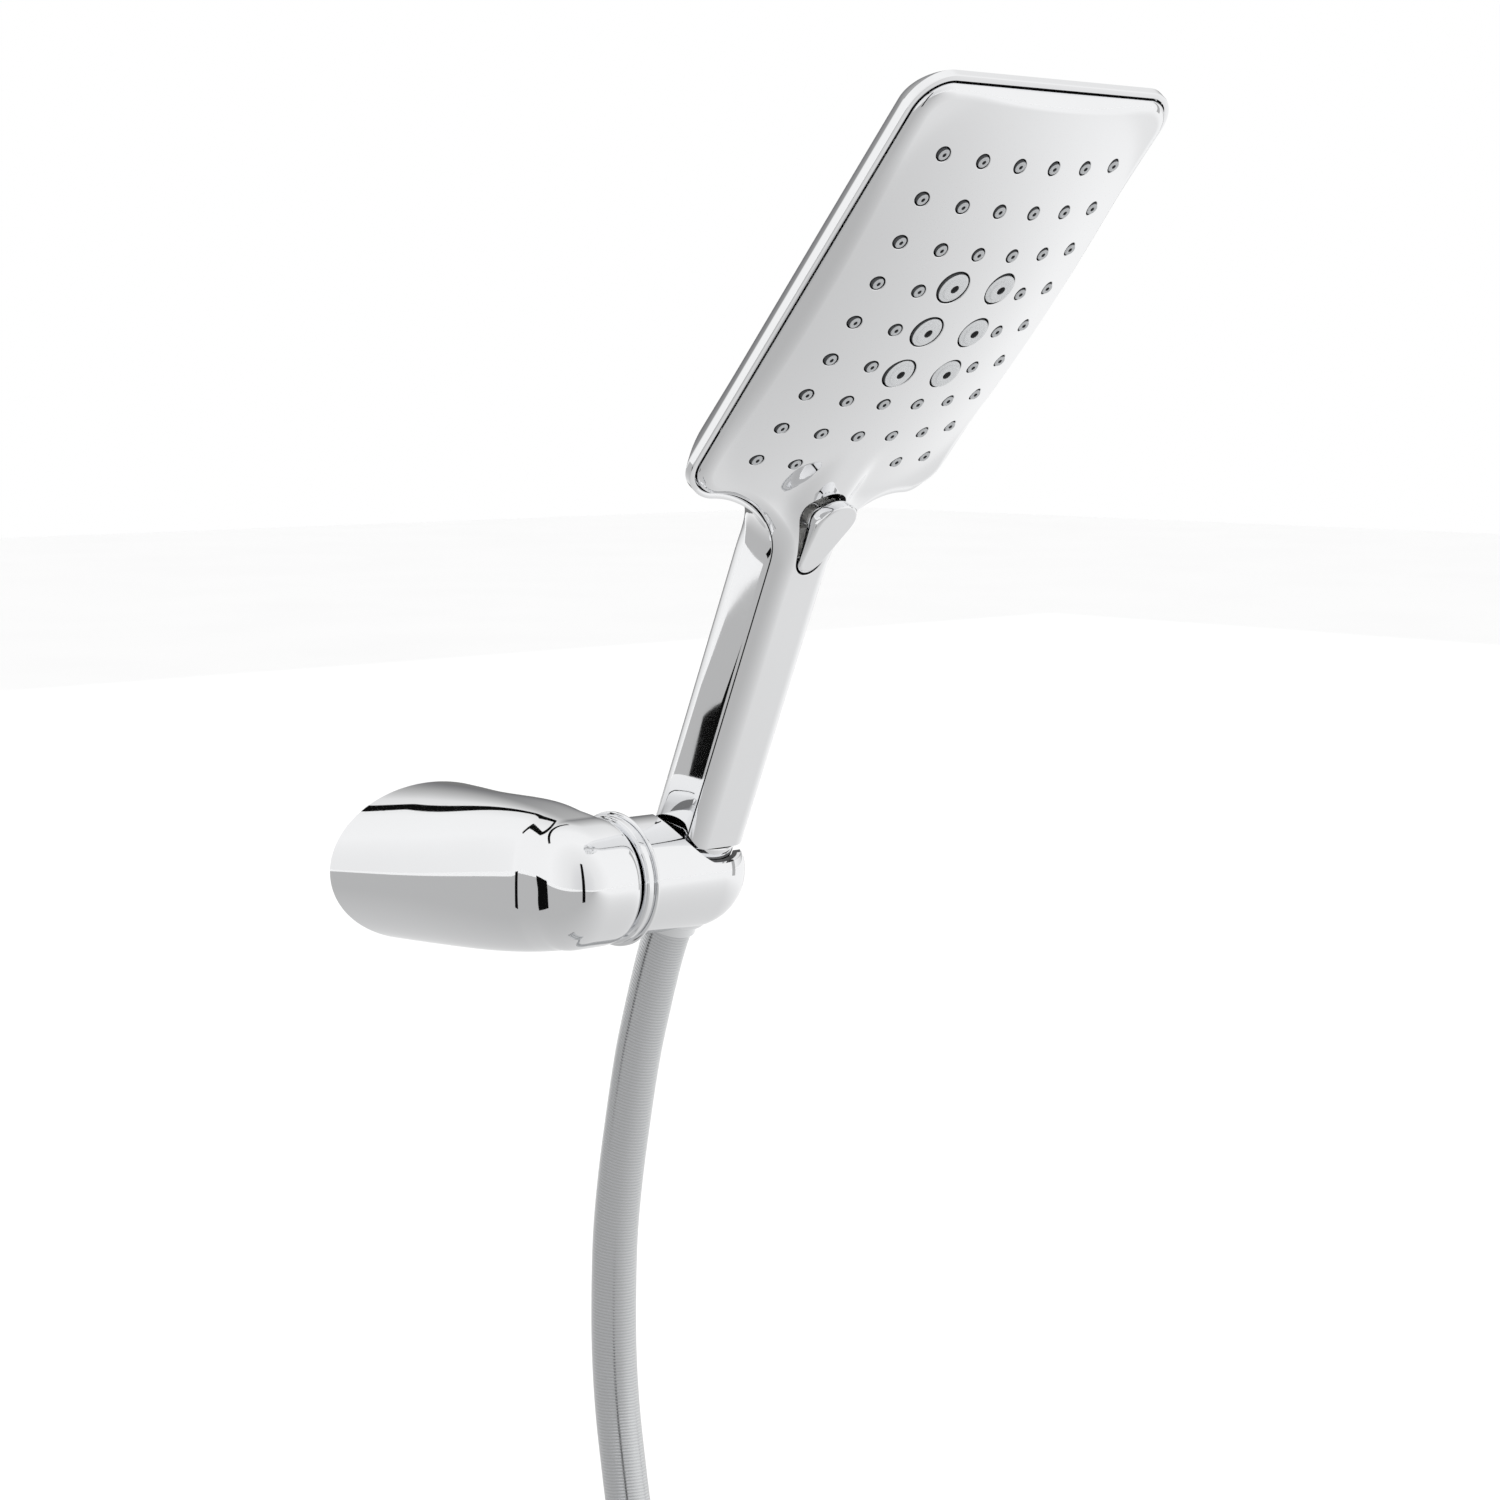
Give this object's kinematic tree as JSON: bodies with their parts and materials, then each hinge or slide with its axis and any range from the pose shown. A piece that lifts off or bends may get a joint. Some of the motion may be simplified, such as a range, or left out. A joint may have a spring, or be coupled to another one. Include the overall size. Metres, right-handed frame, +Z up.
{
  "type": "hand shower set",
  "caption": "Hand shower with a flat rounded rectangular head and a mode button, standing in a swivelling wall holder, with its hose.",
  "frame": {"origin": "centre of the bracket's face on the wall", "axes": "+Y into the wall, +Z up, +X towards the holder along the swivel axis"},
  "size_m": [0.204, 0.2162, 0.6019],
  "materials": {
    "chrome_plate": "bright chrome, polished",
    "steel": "plain steel",
    "brass": "turned brass",
    "nozzle_rubber": "soft grey, matte",
    "seal_rubber": "black, matte",
    "inner_plastic": "white moulded plastic",
    "liner_plastic": "black moulded plastic",
    "grey_plastic": "grey moulded plastic",
    "hose_silver": "satin silver, finely ribbed"
  },
  "bodies": {
    "bracket": {"wall_plate": "steel", "bracket_body": "chrome_plate", "grub_screw": "steel", "friction_washer": "inner_plastic", "wave_washer": "steel", "trim_ring": "chrome_plate"},
    "holder": {"holder_body": "chrome_plate", "holder_liner": "liner_plastic", "swivel_axle": "steel", "lock_nut": "steel"},
    "handset": {"front_shell": "chrome_plate", "rear_shell": "chrome_plate", "nozzle_mat": "nozzle_rubber", "jet_inserts": "grey_plastic", "spray_plate": "inner_plastic", "chamber_gasket": "seal_rubber", "water_chamber": "inner_plastic", "chamber_screws": "steel", "valve_body": "inner_plastic", "plunger_seal": "seal_rubber", "plunger_spring": "steel", "button_pin": "steel", "water_tube": "inner_plastic", "tube_seals": "seal_rubber", "inlet_socket": "brass", "flow_regulator": "grey_plastic", "inlet_filter": "steel", "cone_nut": "chrome_plate", "cone_washer": "seal_rubber", "hose_nipple": "brass", "upper_ferrule": "chrome_plate", "hose_top": "hose_silver"},
    "button": {"mode_button": "chrome_plate"},
    "plunger": {"plunger": "inner_plastic"},
    "selector": {"selector_disc": "brass"},
    "hose": {"hose_drop": "hose_silver", "hose_coil": "hose_silver", "hose_tail": "hose_silver", "coil_tie": "liner_plastic", "lower_ferrule": "chrome_plate", "tail_nipple": "brass", "union_washer": "seal_rubber"},
    "union_nut": {"union_nut": "chrome_plate"}
  },
  "joints": [
    {"name": "holder_swivel", "type": "hinge", "parent": "bracket", "child": "holder", "pos_m": [0.0455, -0.066, 0], "axis": [1, 0, 0], "range_deg": [-30, 30]},
    {"name": "handset_lift", "type": "slide", "parent": "holder", "child": "handset", "axis": [0, -0.3955, 0.9184], "range_m": [0, 0.03]},
    {"name": "button_press", "type": "hinge", "parent": "handset", "child": "button", "pos_m": [0.0455, -0.11567, 0.09511], "axis": [-1, 0, 0], "range_deg": [0, 5], "stiffness_Nm_per_rad": 1, "springref_deg": -5.73},
    {"name": "plunger_push", "type": "slide", "parent": "handset", "child": "plunger", "axis": [0, 0.9184, 0.3955], "range_m": [0, 0.0012]},
    {"name": "selector_turn", "type": "hinge", "parent": "handset", "child": "selector", "pos_m": [0.0455, -0.11347, 0.11021], "axis": [0, -0.9184, -0.3955], "continuous": true},
    {"name": "hose_hang", "type": "hinge", "parent": "handset", "child": "hose", "pos_m": [0.0455, -0.0455, -0.053], "axis": [1, 0, 0], "range_deg": [-30, 30]},
    {"name": "union_nut_spin", "type": "hinge", "parent": "hose", "child": "union_nut", "pos_m": [0.0455, -0.0875, -0.37], "axis": [0, 0, 1], "continuous": true}
  ],
  "couplings": [
    {"joint": "plunger_push", "follows": "button_press", "m_per_rad": 0.013},
    {"joint": "hose_hang", "follows": "holder_swivel", "ratio": -1}
  ]
}
